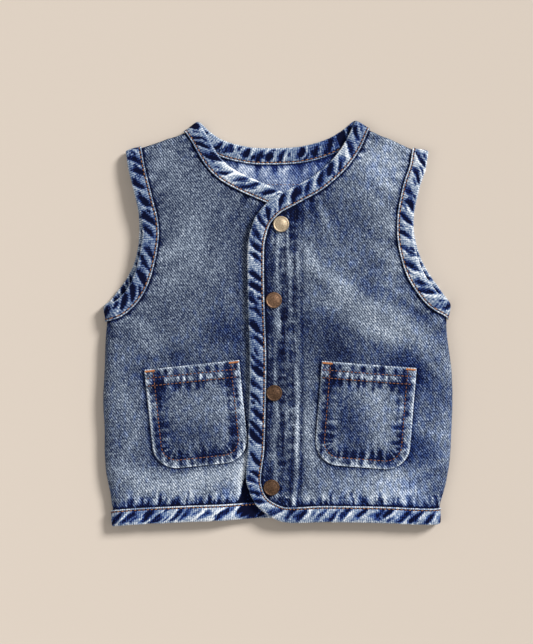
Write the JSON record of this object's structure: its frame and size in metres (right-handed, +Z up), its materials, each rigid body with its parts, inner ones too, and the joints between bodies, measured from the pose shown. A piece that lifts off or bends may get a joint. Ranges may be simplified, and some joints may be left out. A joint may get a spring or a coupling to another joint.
{
  "type": "denim vest",
  "caption": "Child's collarless denim vest with bias-bound edges, patch pockets and brass snaps, lying flat on its back.",
  "frame": {"origin": "middle of the vest's outline seen from above, on the surface it lies on", "axes": "+X to the right of the vest as seen from above, +Y from hem to neck, +Z up, out of the front"},
  "size_m": [0.3046, 0.3542, 0.0196],
  "materials": {
    "denim": "stonewashed cotton twill",
    "denim_binding": "stonewashed cotton twill cut on the bias",
    "denim_pocket": "stonewashed cotton twill",
    "brass": "antique satin"
  },
  "bodies": {
    "root": {"back_panel": "denim", "left_front": "denim", "right_front": "denim", "binding_left": "denim_binding", "binding_right": "denim_binding", "binding_back_neck": "denim_binding", "binding_back_hem": "denim_binding", "binding_arm_left_front": "denim_binding", "binding_arm_left_back": "denim_binding", "binding_arm_right_front": "denim_binding", "binding_arm_right_back": "denim_binding", "pocket_left": "denim_pocket", "pocket_right": "denim_pocket", "snap_cap_1": "brass", "snap_cap_2": "brass", "snap_cap_3": "brass", "snap_cap_4": "brass"}
  },
  "joints": []
}
